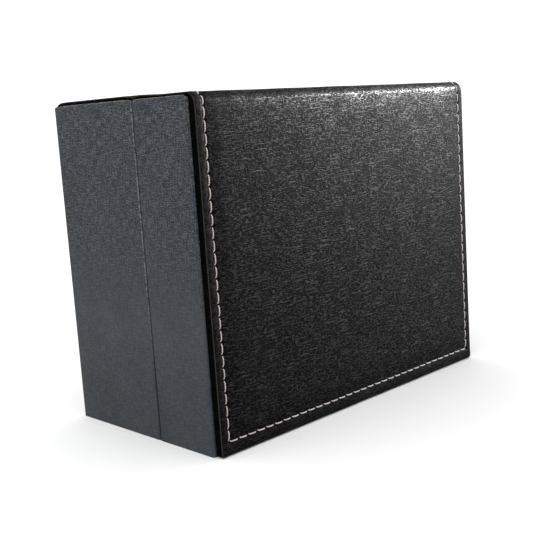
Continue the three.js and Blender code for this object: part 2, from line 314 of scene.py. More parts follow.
front_run = TOP_Z - FRONT_BEND - FOOT_Z
spine_run = BACK_Y - BACK_BEND - FRONT_Y - FRONT_BEND
back_run = TOP_Z - BACK_BEND - FOOT_Z
cover_path, COVER_LENGTH = bent_path(
    (FRONT_Y, FOOT_Z), 90,
    [(front_run, 0), bend(FRONT_BEND, -90), (spine_run, 0), bend(BACK_BEND, -90), (back_run, 0)],
)
SPINE_START = front_run + bend(FRONT_BEND, -90)[0]
SPINE_END = SPINE_START + spine_run
CREASE = SPINE_START + SEAM_Y - FRONT_Y - FRONT_BEND
print(f"cover: {2 * COVER_HALF:.1f} wide, {COVER_LENGTH:.1f} mm long, crease at {CREASE:.1f}")

# %% Space the stitches
ROW_INSET = 3.5
FOOT_ROW = 4.6
ROW_X = COVER_HALF - ROW_INSET
ROW_GAP = 5.0
PITCH = 4.13


def needle_holes(start, end):
    """Evenly spaced holes between two ends, as near to the usual stitch length as they come."""
    return np.linspace(start, end, 1 + round((end - start) / PITCH))


front_holes = needle_holes(FOOT_ROW, CREASE - ROW_GAP)
rear_holes = needle_holes(CREASE + ROW_GAP, COVER_LENGTH - FOOT_ROW)
foot_holes = needle_holes(-ROW_X, ROW_X)
print("stitches in a front row, a rear row and a foot row:",
      len(front_holes) - 1, len(rear_holes) - 1, len(foot_holes) - 1)


# %% Shape the leather's height
def ease(low, high, value):
    """0 below low and 1 above high, with a smooth step between them."""
    t = np.clip((value - low) / (high - low), 0, 1)
    return t * t * (3 - 2 * t)


def bell(distance, width):
    """A bump that is 1 at distance 0 and falls away over about a width on both sides."""
    return np.exp(-((distance / width) ** 2))


def pull(along, holes):
    """How near a place is to a needle hole: 1 at a hole, and close to 0 between two of them."""
    phase = np.interp(along, holes, np.arange(len(holes)))
    return (0.5 + 0.5 * np.cos(2 * np.pi * phase)) ** 3


SEAM_DIP, END_DIP = 0.34, 0.26
PAD_RISE, CROWN, BACK_RISE = 0.42, 0.45, 0.1
FOOT_LEAN, SPINE_RISE = 0.55, 0.55
CREASE_DIP, WAVINESS = 0.5, 0.05

waves = np.random.default_rng(11)
WAVE_LENGTHS = waves.uniform(18, 70, (10, 2))
WAVE_TURNS = waves.uniform(0, 2 * np.pi, (10, 2))


def unevenness(a, b):
    """Slow hand-made waviness: a quarter of the sum of ten products of two sines, about 1 at most."""
    total = sum(
        np.sin(2 * np.pi * a / long_a + turn_a) * np.sin(2 * np.pi * b / long_b + turn_b)
        for (long_a, long_b), (turn_a, turn_b) in zip(WAVE_LENGTHS, WAVE_TURNS)
    )
    return total / 4


def sewn(across_row, holes_near, depth):
    """A seam's dip: a groove along the row, deeper at the holes, with puckers on both sides."""
    groove = bell(across_row, 0.55) * (0.62 + 0.38 * holes_near) * depth
    puckers = (bell(across_row - 1.2, 1.0) + bell(across_row + 1.3, 1.1)) * holes_near * depth * 0.28
    return groove + puckers


def cover_height(x, s):
    """The leather's height above its plain path, from the seams, the padding and the crease."""
    edge = COVER_HALF - abs(x)
    foot_edge, end_edge = s, COVER_LENGTH - s
    on_front = 1 - ease(front_run - 8, SPINE_START, s)
    on_back = ease(SPINE_END, SPINE_END + 10, s)
    on_lid_spine = ease(SPINE_START - 9, SPINE_START - 2, s) * (1 - ease(CREASE - 14, CREASE - 3, s))
    on_rear_spine = ease(CREASE + 1, CREASE + 7, s) * (1 - ease(SPINE_END - 4, SPINE_END + 5, s))

    side_row = ease(1.5, ROW_GAP, abs(s - CREASE)) * ease(FOOT_ROW - 1, FOOT_ROW, foot_edge)
    side_row = side_row * ease(FOOT_ROW - 1, FOOT_ROW, end_edge)
    side_holes = np.where(s < CREASE, pull(s, front_holes), pull(s, rear_holes))
    foot_row = ease(ROW_INSET - 1, ROW_INSET, edge)
    foot_near = pull(x, foot_holes)
    seams = sewn(edge - ROW_INSET, side_holes, SEAM_DIP) * side_row
    seams = seams + sewn(foot_edge - FOOT_ROW, foot_near, SEAM_DIP) * foot_row
    seams = seams + sewn(end_edge - FOOT_ROW, foot_near, END_DIP) * foot_row

    inside = ease(3.9, 9.5, edge)
    hem = 0.1 * bell(edge - 1.9, 0.9) + 0.1 * bell(foot_edge - 2.4, 1.3) * on_front
    front = (PAD_RISE * inside * ease(5.0, 10.5, foot_edge)
             + CROWN * (1 - (x / COVER_HALF) ** 2) * np.sin(np.pi * np.clip(s / SPINE_START, 0, 1)))
    lean = FOOT_LEAN * np.clip(1 - s / (front_run - 8), 0, 1) ** 1.4
    spine = SPINE_RISE * (0.3 + 0.7 * inside) * on_rear_spine - SPINE_SAG * on_lid_spine
    back = BACK_RISE * inside * ease(5.0, 10.5, end_edge)
    crease = CREASE_DIP * bell(s - CREASE, 1.5)
    wavy = WAVINESS * unevenness(x, s) * ease(2, 14, edge)
    return on_front * front + lean + spine + on_back * back + hem - seams - crease + wavy


def on_cover(x, s, lift=0):
    """Points on the leather, or lift above it, at x across the box and s along it from the front's
    foot."""
    place, facing = cover_path(s)
    height = (cover_height(x, s) + lift)[..., None]
    flat = place + facing * height
    return np.stack([x, flat[..., 0], flat[..., 1]], -1)


# %% Make the cover
HEM = np.array([1.4, 1.9, 2.3, 2.7, 3.1, 3.5, 3.9, 4.3, 4.8, 5.5, 6.3])
FOOT_HEM = np.array([1.4, 1.9, 2.4, 2.9, 3.4, 3.9, 4.25, 4.6, 4.95, 5.4, 5.9, 6.5, 7.2])
REACH, FOLD = 1.0, 0.6

middle_x = np.arange(-63.75, 63.76, PITCH / 4)
cover_x = np.concatenate([[-COVER_HALF + REACH], HEM - COVER_HALF, middle_x,
                          COVER_HALF - HEM[::-1], [COVER_HALF - REACH]])
cover_s = np.concatenate([
    [REACH], FOOT_HEM,
    np.arange(8.0, CREASE - 4, PITCH / 6),
    np.arange(CREASE - 3.8, CREASE + 3.81, 0.4),
    np.arange(CREASE + 4.4, COVER_LENGTH - 8.0, PITCH / 4),
    COVER_LENGTH - FOOT_HEM[::-1], [COVER_LENGTH - REACH],
])

half_length = COVER_LENGTH / 2
p_cover = with_margins(odd_count(cover_x) / (COVER_HALF - REACH))
q_cover = with_margins((odd_count(cover_s) - half_length) / (half_length - REACH))
p_grid, q_grid = np.meshgrid(p_cover, q_cover)
s_rough = np.clip(q_grid, -1, 1) * half_length + half_length
EDGE_DEPTH = np.interp(s_rough, [front_run, SPINE_START - 0.5, SPINE_START, SPINE_END, SPINE_END + 7],
                       [2.8, 1.1, 1.15, 1.15, 0.66])
plan_x, plan_s, sunk, cover_cut = turned(
    p_grid, q_grid, COVER_HALF, half_length, REACH, FOLD, EDGE_DEPTH - FOLD)
plan_s = plan_s + half_length
leather_cover = thick_sheet("leather_cover", on_cover(plan_x, plan_s, -sunk), LEATHER,
                            cover_cut + [0, half_length])
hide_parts("front_cover", "rear_cover")
CUT_OVER = 2 * (EDGE_DEPTH.max() + REACH) * MM
COVER_LENGTH * MM + CUT_OVER
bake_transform(leather_cover)

# %% [markdown]
# ## The stitches
#
# The thread comes up through one needle hole, lies over the leather and goes down the next. On the real
# box each stitch is a short cream bead that leans a little, because the two threads of a lockstitch
# pull it to one side. A stitch is a short tube: a ring carried along a bowed line, thin at both
# holes. All stitches of a half are worked out at once, each with its own small slip of the hand.

# %% Make the stitches
SLIPS = np.random.default_rng(5)
THREAD_WIDE, THREAD_TALL = 0.23, 0.20


def stitch_rows(word, runs, body):
    """Tubes between neighbouring holes. runs are arrays of holes, (n, 2) as (x, s), each in the order
    that it was sewn. The bow is highest in the middle; the lean goes from one side to the other."""
    first = np.concatenate([holes[:-1] for holes in runs])
    last = np.concatenate([holes[1:] for holes in runs])
    count = len(first)
    t = np.linspace(0, 1, 9)[None, :]
    ring = np.linspace(0, 2 * np.pi, 7)[:-1]
    along = last - first
    long = np.linalg.norm(along, axis=1, keepdims=True)
    aside = np.stack([-along[:, 1], along[:, 0]], -1) / long
    slip = SLIPS.uniform(-1, 1, (count, 3))
    stretch = 0.035 + 0.015 * slip[:, :1]
    go = stretch + (1 - 2 * stretch) * t
    lean = 0.10 * (0.5 - t) + 0.30 * bell(t, 0.13) + 0.04 * slip[:, 1:2]
    plan = first[:, None] + along[:, None] * go[..., None] + aside[:, None] * lean[..., None]
    bow = 0.34 * (1 - abs(2 * t - 1) ** 4) - 0.14 + 0.03 * slip[:, 2:3]
    line = on_cover(plan[..., 0], plan[..., 1], bow)
    way = np.gradient(line, axis=1)
    way /= np.linalg.norm(way, axis=-1, keepdims=True)
    _, facing = cover_path(plan[..., 1])
    up = np.stack([np.zeros(plan.shape[:2]), facing[..., 0], facing[..., 1]], -1)
    side = np.cross(way, up)
    side /= np.linalg.norm(side, axis=-1, keepdims=True)
    up = np.cross(side, way)
    thin = (0.35 + 0.65 * np.sqrt(np.clip(1 - abs(2 * t - 1) ** 5, 0, 1)))[..., None, None]
    wide = THREAD_WIDE * thin * np.cos(ring)[:, None] * side[:, :, None]
    tall = THREAD_TALL * thin * np.sin(ring)[:, None] * up[:, :, None]
    points = line[:, :, None] + wide + tall
    rows, around = points.shape[1:3]
    tube = grid_faces(rows, around, ring=True)
    starts = np.arange(count)[:, None, None] * rows * around
    ends = np.stack([np.arange(around)[::-1], (rows - 1) * around + np.arange(around)])
    cloth = np.stack(np.broadcast_arrays((np.arange(count)[:, None] * 9 + go * long)[..., None],
                                         ring * 0.4), -1)
    faces = [(starts + tube).reshape(-1, 4), (starts + ends).reshape(-1, around)]
    piece = make_piece(f"{word}_thread", points, faces, cloth)
    stand_in(piece, f"{word}_stitching", body)
    return piece


def row_of(x, s):
    """A row of holes, where x or s is the same for all of them."""
    return np.stack(np.broadcast_arrays(x, s), -1)


thread_pieces = [
    stitch_rows(word, [row_of(-ROW_X, holes), row_of(ROW_X, holes), row_of(foot_holes, foot)], body)
    for word, holes, foot, body in (("front", front_holes, FOOT_ROW, "lid"),
                                    ("rear", rear_holes, COVER_LENGTH - FOOT_ROW, "base"))
]

# %% [markdown]
# ## The charcoal sides
#
# Each half's sides are covered with fine leatherette, turned over the greyboard at the seam and at the
# far upright. Seen from above it is a path with two quarter turns, carried upwards. Its top follows
# the shell's outline, with the far corner rounded, and its cut edges are a little soft. Towards the
# floor the seam opens a little, because the folded edges spring back where nothing holds them.

# %% Cover the sides
SIDE_CORNER = 1.8
SEAM_CORNER = 1.1
SEAM_OPENING = 0.22
SEAM_FOLD, FAR_FOLD = 0.5, 1.0
CUT_EDGE = 0.22
LEATHERETTE = 0.58
SHAPED_FROM, OPEN_BELOW = 60, 75
base_low, base_high = corners_of("base_left_wrap")
lid_low, lid_high = corners_of("lid_left_wrap")
SIDE_TOP = base_high[2]
OUTER_X, LIP_X = abs(base_low[0]), abs(base_high[0])


def rounding(distance, radius):
    """How far a quarter circle has fallen away, at a distance from the edge where it ends."""
    short = np.clip(radius - distance, 0, radius)
    return radius - np.sqrt(radius**2 - short**2)


def side_cover(body, word, near_y, far_y):
    """A side panel with both its lips. near_y is at the seam, and far_y at the front or the back."""
    side = -1 if word == "left" else 1
    away = np.sign(far_y - near_y)
    first_y, last_y = (near_y, far_y) if away > 0 else (far_y, near_y)
    first_fold, last_fold = (SEAM_FOLD, FAR_FOLD) if away > 0 else (FAR_FOLD, SEAM_FOLD)
    lip = OUTER_X - LIP_X
    path, length = bent_path(
        (-LIP_X, first_y), 180,
        [(lip - first_fold, 0), bend(first_fold, -90),
         (last_y - first_y - first_fold - last_fold, 0),
         bend(last_fold, -90), (lip - last_fold, 0)],
    )
    turns = [lip - first_fold, lip - first_fold + bend(first_fold, 90)[0]]
    ends = [length - lip + last_fold - bend(last_fold, 90)[0], length - lip + last_fold]
    across = through([0, *turns, *ends, length], [3, 6, 39, 6, 3])
    soft = CUT_EDGE * (1 - np.cos(np.linspace(0, np.pi / 2, 5)))
    up = odd_count(np.concatenate([soft, np.linspace(1, SIDE_TOP - 1, 110), SIDE_TOP - soft[::-1]]))
    way, height = np.meshgrid(across, up)
    place, facing = path(way)
    from_far, from_near = abs(place[..., 1] - far_y), abs(place[..., 1] - near_y)
    top = SIDE_TOP - rounding(from_far, SIDE_CORNER) - rounding(from_near, SEAM_CORNER)
    shaped = SHAPED_FROM + (height - SHAPED_FROM) * (top - SHAPED_FROM) / (SIDE_TOP - SHAPED_FROM)
    z = np.where(height > SHAPED_FROM, shaped, height)
    from_edge = np.minimum(height, SIDE_TOP - height)
    sink = rounding(from_edge, CUT_EDGE)
    on_plate = ease(turns[1], turns[1] + 6, way) * (1 - ease(ends[0] - 6, ends[0], way))
    swell = 0.07 * unevenness(way * 1.4 + 30 * side, z) * on_plate * ease(0, 8, from_edge)
    flat = place + facing * (swell - sink)[..., None]
    opening = SEAM_OPENING * np.clip(1 - z / OPEN_BELOW, 0, 1) * (1 - ease(0, 7, from_near))
    points = np.stack([flat[..., 0] * -side, flat[..., 1] + away * opening, z], -1)
    piece = thick_sheet(f"{body}_{word}_side", points, LEATHERETTE, np.stack([way, z], -1), side)
    stand_in(piece, f"{body}_{word}_wrap", body)
    length * MM
    return piece


side_pieces = [
    side_cover(body, word, near_y, far_y)
    for body, near_y, far_y in (("lid", lid_high[1], lid_low[1]), ("base", base_low[1], base_high[1]))
    for word in ("left", "right")
]

# %% [markdown]
# ## The closing edge
#
# The box stands on its closing edge. Each half has a strip of the same leatherette there, folded up over
# the board at the seam and at the far side. It is the same kind of path, now seen from the side and
# carried across the box; the strip is a little narrower where it turns up between the side lips.

# %% Cover the closing edge
bottom_high = corners_of("base_bottom_wrap")[1]
LIP_Z = bottom_high[2]
PLATE_HALF, LIP_HALF = bottom_high[0], LIP_X - 0.05
EDGE_FOLD = 0.6


def closing_edge(body, front_y, back_y):
    """The strip under one half, from the lip at its back, round under it, to the lip at its front."""
    leg = LIP_Z - EDGE_FOLD
    path, length = bent_path(
        (back_y, LIP_Z), -90,
        [(leg, 0), bend(EDGE_FOLD, -90), (back_y - front_y - 2 * EDGE_FOLD, 0),
         bend(EDGE_FOLD, -90), (leg, 0)],
    )
    first = [leg, leg + bend(EDGE_FOLD, 90)[0]]
    last = [length - first[1], length - first[0]]
    near_turn = np.array([0.3, 0.6, 1.5])
    along = through([0, *first, *(first[1] + near_turn), *(last[0] - near_turn[::-1]), *last, length],
                    [3, 6, 1, 1, 1, 17, 1, 1, 1, 6, 3])
    q, way = np.meshgrid(np.linspace(-1, 1, 81), along)
    place, facing = path(way)
    half = LIP_HALF + (PLATE_HALF - LIP_HALF) * ease(first[1], first[1] + 0.5, way) * (
        1 - ease(last[0] - 0.5, last[0], way))
    swell = 0.05 * (unevenness(q * 70, way * 2) - 1) * ease(first[1] + 1, first[1] + 8, way) * (
        1 - ease(last[0] - 8, last[0] - 1, way))
    flat = place + facing * swell[..., None]
    points = np.stack([q * half, flat[..., 0], flat[..., 1]], -1)
    piece = thick_sheet(f"{body}_closing_edge", points, LEATHERETTE, np.stack([q * half, way], -1))
    stand_in(piece, f"{body}_bottom_wrap", body)
    2 * PLATE_HALF * MM
    length * MM
    return piece


side_pieces += [closing_edge("lid", lid_low[1], lid_high[1]),
                closing_edge("base", base_low[1], base_high[1])]

# %% [markdown]
# ## Pads and rounded plates
#
# The padding under the leather, the velvet panels and the tray's divider are all plates with rounded
# corners and edges. One surface does for them: a front grid and a back grid, each turned over at its
# edges, joined by a narrow wall. A pad also swells, most in its middle and not at all at its edge.

# %% Make a rounded plate
def rounded_plate(name, node, body, thin_axis, corner, edge, swell=0, lift=None,
                  cells=(24, 20)):
    """A plate in the place of a CAD node. edge is the radius of its edges, and corner that of its
    corners in plan. swell raises the side with the higher (or, if negative, the lower) thin value;
    lift is a function of the two plan places that does the same. A plate that swells is a pad."""
    low, high = corners_of(node)
    middle, half = (low + high) / 2, (high - low) / 2
    wide_axes = [axis for axis in range(3) if axis != thin_axis]
    half_a, half_b = half[wide_axes]
    p, q = np.meshgrid(with_margins(np.linspace(-1, 1, cells[0] + 1)),
                       with_margins(np.linspace(-1, 1, cells[1] + 1)))
    a, b, down, cut = turned(p, q, half_a, half_b, corner, edge, 0.0)
    inner_a, inner_b = np.clip(abs(a) / half_a, 0, 1), np.clip(abs(b) / half_b, 0, 1)
    crown = (1 - inner_a**2.5) * (1 - inner_b**2.5) * abs(swell)
    if lift is not None:
        crown = crown + lift(a + middle[wide_axes[0]], b + middle[wide_axes[1]])
    rise = half[thin_axis] - down
    raised = swell >= 0
    sides = [rise + (crown if raised else 0), -rise - (0 if raised else crown)]
    grids = []
    for level in sides:
        grid = np.zeros(a.shape + (3,))
        grid[..., wide_axes[0]], grid[..., wide_axes[1]], grid[..., thin_axis] = a, b, level
        grids.append(grid + middle)
    rows, columns = a.shape
    edge_ring = outline_of(rows, columns)
    following = np.roll(edge_ring, -1)
    far = rows * columns
    quads = [grid_faces(rows, columns), grid_faces(rows, columns, first=far)[:, ::-1],
             np.stack([following, edge_ring, edge_ring + far, following + far], -1)]
    piece = make_piece(name, np.concatenate([g.reshape(-1, 3) for g in grids]),
                       [np.concatenate(quads)], np.concatenate([cut.reshape(-1, 2)] * 2))
    stand_in(piece, node, body)
    return piece


# %% Make the padding under the leather
def under_front(x, z):
    """How far the leather stands off the foam's plain face over the front."""
    return np.maximum(cover_height(x, np.clip(z - FOOT_Z, 0, COVER_LENGTH)), 0)


def under_spine(x, y):
    """How far the leather stands off the foam's plain face over the spine."""
    s = np.clip(y - FRONT_Y - FRONT_BEND + SPINE_START, 0, COVER_LENGTH)
    return np.maximum(cover_height(x, s), -SPINE_SAG)


TO_THE_FRONT = -1e-6
foam_pieces = [rounded_plate("front_padding", "front_foam", "lid", 1, 1.5, 0.2,
                             swell=TO_THE_FRONT, lift=under_front, cells=(60, 50))]
for word, body in (("front", "lid"), ("rear", "base")):
    foam_pieces.append(rounded_plate(f"{word}_spine_padding", f"{word}_spine_foam", body, 2,
                                     1.5, 0.06, lift=under_spine, cells=(60, 24)))

# %% [markdown]
# ## The linings
#
# One strip of black cloth covers the hinge from the inside: along the base, over the board's edge at the
# seam, across the gap, and along the lid. A second strip lines the lid's two sides and closing edge.
# Both are bent paths again. The hinge strip follows both halves, and turns smoothly between them.

# %% Line the hinge and the lid
lid_hinge_low, lid_hinge_high = corners_of("lid_hinge_lining")
base_hinge_low, base_hinge_high = corners_of("base_hinge_lining")
CLOTH = 0.28
GAP = base_hinge_low[1] - lid_hinge_high[1]
CLOTH_TURN = 0.3
CLOTH_DROP = 1.65

first_leg = base_hinge_high[1] - base_hinge_low[1] - CLOTH_TURN
hinge_path, hinge_length = bent_path(
    (base_hinge_high[1], base_hinge_low[2]), 180,
    [(first_leg, 0), bend(CLOTH_TURN, -90), (CLOTH_DROP, 0), bend(GAP / 2, 180), (CLOTH_DROP, 0),
     bend(CLOTH_TURN, -90), (lid_hinge_high[1] - lid_hinge_low[1] - CLOTH_TURN, 0)],
)
corner_arc, gap_arc = bend(CLOTH_TURN, 90)[0], bend(GAP / 2, 180)[0]
knots = np.cumsum([0, first_leg, corner_arc, CLOTH_DROP, gap_arc, CLOTH_DROP, corner_arc])
hinge_s = through([*knots, hinge_length], [8, 5, 4, 14, 4, 5, 24])
x_grid, s_grid = np.meshgrid(np.linspace(lid_hinge_low[0], lid_hinge_high[0], 61), hinge_s)
place, facing = hinge_path(s_grid)
ripple = 0.05 * (unevenness(x_grid * 2, s_grid * 3) - 1) * ease(0, 6, s_grid - knots[6])
place = place - facing * abs(ripple)[..., None] * 0.5
hinge_cloth = thick_sheet("hinge_cloth", np.stack([x_grid, place[..., 0], place[..., 1]], -1), CLOTH,
                          np.stack([x_grid, s_grid], -1))
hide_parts("lid_hinge_lining", "base_hinge_lining")
hinge_length * MM
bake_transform(hinge_cloth)

wall_low, wall_high = corners_of("lid_wall_lining")
WALL_TURN = 0.9
wall_x, wall_foot = wall_high[0] - 0.3, wall_low[2] + 0.3
corner_start = wall_high[2] - wall_foot - WALL_TURN
wall_path, wall_length = bent_path(
    (-wall_x, wall_high[2]), -90,
    [(corner_start, 0), bend(WALL_TURN, 90), (2 * wall_x - 2 * WALL_TURN, 0), bend(WALL_TURN, 90),
     (corner_start, 0)],
)
corner_end = corner_start + bend(WALL_TURN, 90)[0]
wall_s = through([0, corner_start, corner_end, wall_length - corner_end, wall_length - corner_start,
                  wall_length], [29, 6, 35, 6, 29])
y_grid, s_grid = np.meshgrid(np.linspace(wall_low[1], wall_high[1], 17), wall_s)
place, facing = wall_path(s_grid)
wall_cloth = thick_sheet("lid_wall_cloth", np.stack([place[..., 0], y_grid, place[..., 1]], -1), CLOTH,
                         np.stack([s_grid, y_grid], -1), side=-1)
stand_in(wall_cloth, "lid_wall_lining", "lid")
wall_length * MM

# %% [markdown]
# ## The velvet tray
#
# The tray is board wrapped in velvet: a back, four walls, and a rim that stands out of the base to guide
# the lid. It is the cover's turned-over sheet once more, with a flange as deep as the tray, so that
# its corners come out round. Near the rim the wall gets thin, which rounds the edge that is handled.

# %% Make the tray
tray_low, tray_high = corners_of("card_tray")
TRAY_WALL, TRAY_CORNER = 1.4, 1.6
tray_half_x = tray_high[0]
tray_half_z = (tray_high[2] - tray_low[2]) / 2
tray_mid_z = (tray_high[2] + tray_low[2]) / 2
tray_depth = tray_high[1] - tray_low[1]

near_rim = [0.975, 0.985, 0.99, 0.994, 0.997, 0.999, 1.0]
flange_steps = FLANGE_START + TURN_PART * np.concatenate([np.linspace(0.08, 0.94, 11), near_rim])
tray_margin = 1 + np.concatenate([[0.1, 0.2, 0.26, 0.33, 0.4, 0.47, 0.54, 0.6], flange_steps])
tray_flat = np.linspace(-1, 1, 25)
tray_p = np.concatenate([-tray_margin[::-1], tray_flat, tray_margin])
p, q = np.meshgrid(tray_p, tray_p)
a, b, down, tray_cut = turned(p, q, tray_half_x, tray_half_z, TRAY_CORNER + 0.1, TRAY_CORNER,
                              tray_depth - TRAY_CORNER)
tray_points = np.stack([a, tray_high[1] - down, b + tray_mid_z], -1)
from_rim = tray_depth - down
rim_part = np.clip(from_rim / (TRAY_WALL / 2), 0, 1)
tray_wall = TRAY_WALL * np.sqrt(1 - (1 - rim_part) ** 2 * 0.96)
tray_points = tray_points - facing_of(tray_points, -1) * ((TRAY_WALL - tray_wall) / 2)[..., None]
velvet_tray = thick_sheet("velvet_tray", tray_points, tray_wall, tray_cut, side=-1)
stand_in(velvet_tray, "card_tray", "base")

# %% Make the divider and the panels
velvet_pieces = [
    velvet_tray,
    rounded_plate("tray_divider", "divider", "base", 0, 6.0, 0.6, cells=(16, 24)),
]
for name, node, body, swell in (
    ("left_well_cushion", "well_pad_left", "base", -0.5),
    ("right_well_cushion", "well_pad_right", "base", -0.5),
    ("lid_cushion", "lid_lining_panel", "lid", 0.8),
):
    velvet_pieces.append(rounded_plate(name, node, body, 1, 1.2, 0.7, swell=swell))

# %% [markdown]
# ## Shader maths as sums
#
# A material's pattern is easier to read as a formula than as wiring. A small class wraps a socket, and
# its operators add Math nodes, so 1 - mask makes a node. Every other node comes from one method that
# takes its type, its settings and the values or wires of its sockets.

# %% Wrap a socket
class Wire:
    """A socket that can be used in sums."""

    def __init__(self, tree, socket=None):
        self.tree = tree
        self.socket = socket

    def node(self, kind, settings=(), sockets=(), out=0):
        """Any node: its settings are set first, then its sockets take values or wires."""
        made = self.tree.nodes.new(kind)
        for name, value in dict(settings).items():
            setattr(made, name, value)
        for name, value in dict(sockets).items():
            if isinstance(value, Wire):
                self.tree.links.new(value.socket, made.inputs[name])
            else:
                made.inputs[name].default_value = value
        return Wire(self.tree, made.outputs[out])

    def math(self, operation, *values):
        """A Math node on numbers or wires."""
        return self.node("ShaderNodeMath", {"operation": operation}, enumerate(values))

    def __add__(self, other):
        return self.math("ADD", self, other)

    __radd__ = __add__

    def __sub__(self, other):
        return self.math("SUBTRACT", self, other)

    def __rsub__(self, other):
        return self.math("SUBTRACT", other, self)

    def __mul__(self, other):
        return self.math("MULTIPLY", self, other)

    __rmul__ = __mul__

    def higher(self, other):
        """The higher of two values."""
        return self.math("MAXIMUM", self, other)

    def step(self, low, high):
        """0 below low and 1 above high, smooth between them."""
        return self.node("ShaderNodeMapRange", {"interpolation_type": "SMOOTHSTEP"},
                         {"Value": self, "From Min": low, "From Max": high})

    def stretched(self, x, y, z=1.0):
        """A vector with each part times its own number."""
        return self.node("ShaderNodeVectorMath", {"operation": "MULTIPLY"}, {0: self, 1: (x, y, z)})

    def noise(self, x, y, z=1.0, detail=2.0, roughness=0.5, seed=0.0):
        """Noise on a stretched vector: x, y and z are its cells per unit."""
        return self.node("ShaderNodeTexNoise", {"noise_dimensions": "4D"},
                         {"Vector": self.stretched(x, y, z), "W": seed, "Scale": 1.0,
                          "Detail": detail, "Roughness": roughness})

    def blend(self, low, high):
        """A colour between two colours, by this value."""
        return self.node("ShaderNodeMix", {"data_type": "RGBA"}, {0: self, 6: low, 7: high}, out=2)

    def parts(self):
        """The three parts of a vector."""
        made = self.node("ShaderNodeSeparateXYZ", (), {0: self})
        return [Wire(self.tree, output) for output in made.socket.node.outputs]

    def bump(self, height_mm, strength=1.0):
        """A normal from a height in millimetres."""
        return self.node("ShaderNodeBump", (), {"Height": height_mm, "Distance": MM, "Strength": strength})


def grey(value, warmth=0.0):
    """A grey, warmer or cooler than neutral, with its alpha."""
    return (value * (1 + warmth), value, value * (1 - warmth), 1.0)


def new_finish(name, constants):
    """An empty material with one shader, whose constant sockets are set directly. Returns the
    material, the shader node and two wires in millimetres: the cut's own map and the place."""
    material = bpy.data.materials.new(name)
    material.use_nodes = True
    tree = material.node_tree
    shader = tree.nodes["Principled BSDF"]
    for socket, value in constants.items():
        shader.inputs[socket].default_value = value
    base = Wire(tree)
    cut = base.node("ShaderNodeUVMap", {"uv_map": "cut"}).stretched(1 / MM, 1 / MM)
    coordinates = tree.nodes.new("ShaderNodeTexCoord")
    place = Wire(tree, coordinates.outputs["Object"]).stretched(1 / MM, 1 / MM, 1 / MM)
    return material, shader, cut, place


def dress(pieces, material):
    """Give every piece this one material."""
    for piece in pieces:
        piece.data.materials.clear()
        piece.data.materials.append(material)


def connect(shader, **wires):
    """Link wires to the shader's sockets; Base_Color stands for Base Color."""
    for name, wire in wires.items():
        wire.tree.links.new(wire.socket, shader.inputs[name.replace("_", " ")])


# %% [markdown]
# ## The cross-grain leather
#
# The black leather is embossed with a cross grain: short raised strokes that run across and along
# the sheet, like coarse linen, about half a millimetre apart, with some longer strokes among them. It
# could be a picture, but two stretched noises crossed with each other never repeat and follow the
# cut's own map round every bend. The tops of the strokes are polished and the valleys stay dull. The
# polish is a clear coat that fades towards the hem, the foot and the left, where it is touched less.

# %% Finish the leather
leather, shader, cut, place = new_finish(
    "cover_leather", {"Specular IOR Level": 0.01, "Coat Roughness": 0.34, "Coat IOR": 1.5}
)
drift = cut.noise(0.13, 0.16, seed=3.0, detail=2.0) - 0.5
across_strokes = cut.noise(0.62, 3.5, detail=1.0, seed=1.0).step(0.54, 0.67)
along_strokes = cut.noise(3.8, 0.60, detail=1.0, seed=2.0).step(0.55, 0.69)
long_strokes = cut.noise(0.14, 2.6, detail=1.0, seed=4.0).step(0.59, 0.70)
strokes = across_strokes.higher(along_strokes * 0.9).higher(long_strokes)
x_part, s_part, _ = cut.parts()
edge_distance = COVER_HALF - x_part.math("ABSOLUTE", x_part)
edge_distance = edge_distance.math("MINIMUM", edge_distance, s_part)
# fold_highlight is a thin painted highlight along the fold edge, where the turned leather catches the
# light.
fold_highlight = edge_distance.step(-0.35, 0.0) * (1 - edge_distance.step(0.1, 0.5))
near_edge = edge_distance.step(-0.2, 0.2) * (1 - edge_distance.step(0.3, 1.6))
scuffs = near_edge * cut.noise(0.30, 0.30, detail=4.0, roughness=0.7, seed=6.0).step(0.58, 0.74)
rubbed_hem = edge_distance.step(0.8, 2.9) * (1 - edge_distance.step(2.95, 3.25)) * s_part.step(-20.0, 90.0)
rubbed_hem = rubbed_hem * cut.noise(0.9, 0.5, detail=2.0, seed=27.0).step(0.35, 0.65) * 0.5
tint = (strokes * (0.8 + drift)).blend(grey(0.0002, 0.02), grey(0.0022, 0.05))
# The pale colour goes on three masks: the painted highlight on the fold, and the real scuffs and rubbing
# near the edges and the hem.
tint = (fold_highlight * 0.55).higher(scuffs).higher(rubbed_hem).blend(tint, grey(0.060, 0.03))
inward = 0.06 + edge_distance.step(0.8, 4.2) * 0.34 + edge_distance.step(3.0, 16.0) * 0.60
handled = 0.62 + s_part.step(0.0, 110.0) * 0.24 + x_part.step(-75.0, 20.0) * 0.20
polish = (strokes * (0.40 + drift * 1.1) + 0.005).higher(0.0) * inward * handled
connect(shader, Base_Color=tint, Roughness=0.62 - strokes * 0.20, Coat_Weight=polish,
        Normal=tint.bump(strokes * 0.24, 1.0))
dress([leather_cover], leather)
